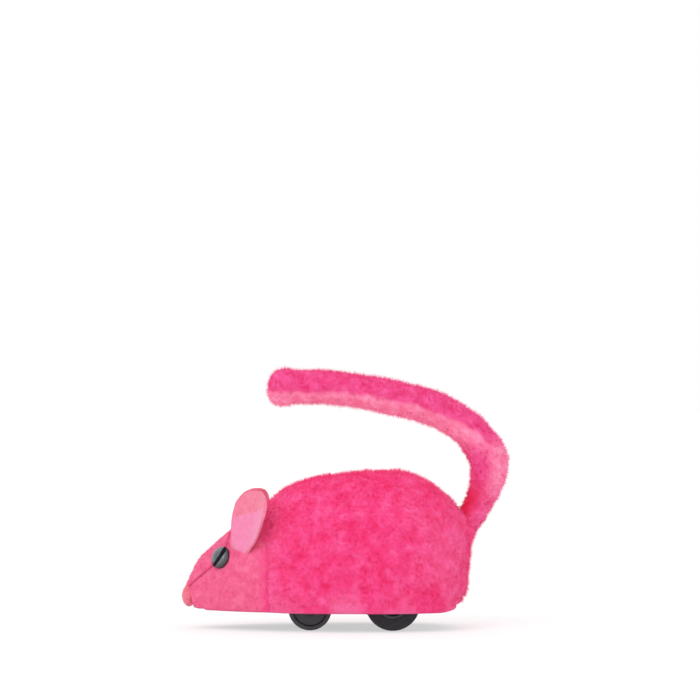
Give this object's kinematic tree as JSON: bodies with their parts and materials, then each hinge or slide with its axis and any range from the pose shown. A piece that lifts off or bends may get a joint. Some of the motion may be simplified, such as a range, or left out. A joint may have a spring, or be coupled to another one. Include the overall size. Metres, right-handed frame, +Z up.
{
  "type": "friction mouse cat toy",
  "caption": "Plush mouse cat toy on wheels with felt ears, bead eyes and a curled tail, driven by a geared flywheel friction motor under a plastic shell.",
  "frame": {"origin": "on the floor under the middle of the bounding box", "axes": "+Z up, nose towards -X, left side towards -Y"},
  "size_m": [0.0764, 0.037, 0.0604],
  "materials": {
    "plush": "long pile plush",
    "velour": "short pile velour",
    "nose_felt": "felt",
    "ear_felt": "felt",
    "ear_lining": "felt",
    "stuffing": "loose fibre",
    "eye_bead": "glossy",
    "shell_plastic": "moulded",
    "case_plastic": "moulded",
    "gear_plastic": "moulded",
    "wheel_plastic": "moulded",
    "rubber": "matt",
    "steel": "turned"
  },
  "bodies": {
    "chassis": {"body_cover": "plush", "head_cover": "velour", "nose": "nose_felt", "ear_left": "ear_felt", "ear_right": "ear_felt", "ear_lining_left": "ear_lining", "ear_lining_right": "ear_lining", "eye_left": "eye_bead", "eye_right": "eye_bead", "body_shell": "shell_plastic", "base_plate": "shell_plastic", "base_screw_front": "steel", "base_screw_rear_left": "steel", "base_screw_rear_right": "steel", "motor_case_left": "case_plastic", "motor_case_right": "case_plastic", "motor_screw_front": "steel", "motor_screw_rear": "steel", "case_screw_front": "steel", "case_screw_rear": "steel", "lower_idler_pin": "steel", "upper_idler_pin": "steel"},
    "rear_drive": {"rear_axle": "steel", "drive_gear": "gear_plastic", "rear_wheel_left": "wheel_plastic", "rear_wheel_right": "wheel_plastic", "rear_tyre_left": "rubber", "rear_tyre_right": "rubber"},
    "lower_idler": {"lower_idler_gear": "gear_plastic"},
    "upper_idler": {"upper_idler_gear": "gear_plastic"},
    "flywheel_unit": {"flywheel_shaft": "steel", "flywheel_pinion": "gear_plastic", "flywheel": "steel"},
    "front_wheels": {"front_axle": "steel", "front_wheel_left": "wheel_plastic", "front_wheel_right": "wheel_plastic"},
    "tail": {"tail_sleeve": "plush", "tail_core": "stuffing"}
  },
  "joints": [
    {"name": "flywheel_spin", "type": "hinge", "parent": "chassis", "child": "flywheel_unit", "pos_m": [-0.00045, 0, 0.0148], "axis": [0, 1, 0], "continuous": true},
    {"name": "upper_idler_spin", "type": "hinge", "parent": "chassis", "child": "upper_idler", "pos_m": [0.00589, 0, 0.01711], "axis": [0, 1, 0], "continuous": true},
    {"name": "lower_idler_spin", "type": "hinge", "parent": "chassis", "child": "lower_idler", "pos_m": [0.00698, 0, 0.01096], "axis": [0, 1, 0], "continuous": true},
    {"name": "drive_spin", "type": "hinge", "parent": "chassis", "child": "rear_drive", "pos_m": [0.01083, 0, 0.00636], "axis": [0, 1, 0], "continuous": true},
    {"name": "front_spin", "type": "hinge", "parent": "chassis", "child": "front_wheels", "pos_m": [-0.00822, 0, 0.005], "axis": [0, 1, 0], "continuous": true},
    {"name": "tail_sway", "type": "hinge", "parent": "chassis", "child": "tail", "pos_m": [0.0286, 0, 0.0249], "axis": [0, 0, 1], "range_deg": [-25, 25]}
  ],
  "couplings": [
    {"joint": "upper_idler_spin", "follows": "flywheel_spin", "ratio": -0.42105},
    {"joint": "lower_idler_spin", "follows": "flywheel_spin", "ratio": 0.19814},
    {"joint": "drive_spin", "follows": "flywheel_spin", "ratio": -0.099071}
  ]
}
